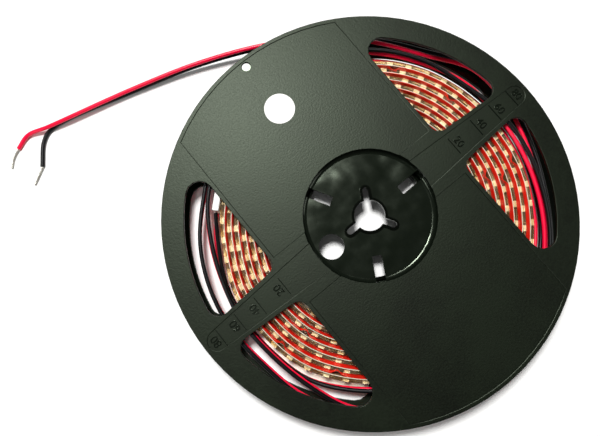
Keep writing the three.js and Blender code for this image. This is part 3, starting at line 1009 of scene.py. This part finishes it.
def solderSleeve():
    bm = bmesh.new()
    bmesh.ops.create_cube(bm, size=1)
    size = Vector((stripSetup["jointThickness"], stripSetup["jointLength"], stripSetup["jointHeight"]))
    bmesh.ops.scale(bm, vec=size * mm, verts=bm.verts)
    roundEdges(bm, bm.edges, sleeveSetup["corner"], 3)
    ends = [face for face in bm.faces if abs(face.normal.y) > 0.99]
    bmesh.ops.inset_individual(bm, faces=ends, thickness=sleeveSetup["lip"] * mm)
    for face in ends:
        inward = Vector((0, -math.copysign(sleeveSetup["mouth"], face.normal.y), 0)) * mm
        bmesh.ops.translate(bm, vec=inward, verts=face.verts)
    halfLength = stripSetup["jointLength"] / 2
    along = [e for e in bm.edges if abs(e.verts[0].co.y - e.verts[1].co.y) > halfLength * mm]
    bmesh.ops.subdivide_edges(bm, edges=along, cuts=sleeveSetup["rings"], use_grid_fill=True)
    for vert in bm.verts:
        if abs(vert.co.y) < (halfLength - sleeveSetup["corner"]) * mm:
            wave = noise.noise(Vector((0, vert.co.y / mm / sleeveSetup["wave"], 4)))
            shrink = 1 - sleeveSetup["ripple"] * (0.5 + wave) / stripSetup["jointThickness"]
            vert.co.x *= shrink
            vert.co.z *= 1 - (1 - shrink) / 2
    place = Matrix.Translation(Vector((jointMiddle, 0, jointMidHeight)) * mm)
    turn = Matrix.Rotation(math.radians(stripSetup["jointAngle"]), 4, "Z")
    bmesh.ops.transform(bm, matrix=turn @ place, verts=bm.verts)
    bmesh.ops.recalc_face_normals(bm, faces=bm.faces)
    piece = pieceFromBmesh("solderSleeve", bm, [shrinkSleeve()], "joint_sleeve")
    smoothByAngle(piece, 50)


def labelPaper():
    # Uncoated white label paper: matte, with a faint cloudy formation and fibres
    settings = {"Base Color": linearColour("f7f6f2"), "Roughness": 0.8, "Specular IOR Level": 0.3}
    material, tree, shader = newMaterial("uncoatedPaper", settings)
    cloud = objectNoise(tree, 1.5, 4.0, 0.7)
    tintBase(tree, shader, cloud.outputs["Fac"], "efede6", "fdfdfb")
    fibres = objectNoise(tree, 0.5, 3.0)
    addBump(tree, shader, fibres.outputs["Fac"], 0.2, 0.05)
    nodes["round_label"].data.materials.clear()
    nodes["round_label"].data.materials.append(material)


# Raised lines and plain numbers on the two scale bands, which tell how much strip is left
scaleSetup = {
    "places": {"20": 47.3, "40": 60.2, "60": 70.8, "80": 80.8},
    "floor": 12.05,
    "raised": 0.3,
    "lineLength": 8.4,
    "lineWidth": 0.35,
    "numberAway": 2.7,
    "numberSize": 4.8,
    "numberEdge": 0.05,
}


def numberMesh(number):
    data = bpy.data.curves.new("number" + number, "FONT")
    data.body = number
    data.size = scaleSetup["numberSize"] * mm
    data.align_x = "CENTER"
    data.align_y = "CENTER"
    data.extrude = (scaleSetup["raised"] / 2 - scaleSetup["numberEdge"]) * mm
    data.bevel_depth = scaleSetup["numberEdge"] * mm
    data.resolution_u = 4
    piece = bpy.data.objects.new("number" + number, data)
    scene.collection.objects.link(piece)
    made = meshFromCurve(piece)
    mesh = made.data
    bpy.data.objects.remove(made)
    return mesh


def scaleMarks():
    bm = bmesh.new()
    middle = scaleSetup["floor"] + scaleSetup["raised"] / 2
    for side in (0, 180):
        turn = Matrix.Rotation(math.radians(side), 4, "Z")
        for number, reach in scaleSetup["places"].items():
            line = bmesh.ops.create_cube(bm, size=1)["verts"]
            size = Vector((scaleSetup["lineWidth"], scaleSetup["lineLength"], scaleSetup["raised"]))
            bmesh.ops.scale(bm, vec=size * mm, verts=line)
            place = turn @ Matrix.Translation(Vector((reach, 0, middle)) * mm)
            bmesh.ops.transform(bm, matrix=place, verts=line)
            mesh = numberMesh(number)
            away = Vector((reach + scaleSetup["numberAway"], 0, middle)) * mm
            quarter = Matrix.Rotation(math.radians(-90), 4, "Z")
            mesh.transform(turn @ Matrix.Translation(away) @ quarter)
            bm.from_mesh(mesh)
            bpy.data.meshes.remove(mesh)
    piece = pieceFromBmesh("scaleMarks", bm, [glossPlastic])
    smoothByAngle(piece, 40)


solderSleeve()
labelPaper()
scaleMarks()
print("sleeve, label and scale marks made")


# Floor and light, in metres and watts
stageSetup = {"floorSize": 3.0, "floorColour": "fdfdfb", "glow": 0.01, "room": 0.06}


def makeFloor():
    bm = bmesh.new()
    bmesh.ops.create_grid(bm, x_segments=1, y_segments=1, size=stageSetup["floorSize"] / 2)
    mesh = meshFromBmesh("floor", bm)
    # Matt white board: it shows white to the camera and still takes the shadow
    settings = {"Base Color": linearColour(stageSetup["floorColour"]), "Roughness": 0.9}
    material, tree, shader = newMaterial("floorBoard", settings)
    rays = addNode(tree, "ShaderNodeLightPath")
    links = {0: rays.outputs["Is Camera Ray"], 1: rays.outputs["Is Glossy Ray"]}
    seen = addNode(tree, "ShaderNodeMath", {"operation": "ADD"}, links)
    links = {0: seen.outputs[0], 1: rays.outputs["Is Transmission Ray"]}
    through = addNode(tree, "ShaderNodeMath", {"operation": "ADD", "use_clamp": True}, links)
    settings = {"operation": "MULTIPLY", 1: stageSetup["glow"]}
    white = addNode(tree, "ShaderNodeMath", settings, {0: through.outputs[0]})
    shader.inputs["Emission Color"].default_value = (1, 1, 1, 1)
    tree.links.new(white.outputs[0], shader.inputs["Emission Strength"])
    mesh.materials.append(material)
    floor = bpy.data.objects.new("floor", mesh)
    scene.collection.objects.link(floor)


lightSetup = [
    {"name": "softBox", "place": (0.09, 0.42, 0.96), "size": (0.24, 0.24), "power": 12.5},
    {"name": "overhead", "place": (-0.2, 0.2, 1.1), "size": (0.5, 0.5), "power": 0.12},
    {"name": "leftBox", "place": (-0.85, 0.12, 0.5), "size": (0.3, 0.3), "power": 2.2},
    {"name": "lowFill", "place": (0.5, -0.6, 0.25), "size": (0.4, 0.3), "power": 1.2},
]


def makeLights():
    for light in lightSetup:
        data = bpy.data.lights.new(light["name"], "AREA")
        data.shape = "RECTANGLE"
        data.size, data.size_y = light["size"]
        data.energy = light["power"]
        lamp = bpy.data.objects.new(light["name"], data)
        lamp.location = light["place"]
        aim = -Vector(light["place"])
        lamp.rotation_euler = aim.to_track_quat("-Z", "Y").to_euler()
        scene.collection.objects.link(lamp)
    world = bpy.data.worlds.new("room")
    world.use_nodes = True
    background = world.node_tree.nodes["Background"]
    background.inputs["Color"].default_value = (1, 1, 1, 1)
    background.inputs["Strength"].default_value = stageSetup["room"]
    scene.world = world


makeFloor()
makeLights()
scene.view_settings.view_transform = "Standard"
print("stage made")
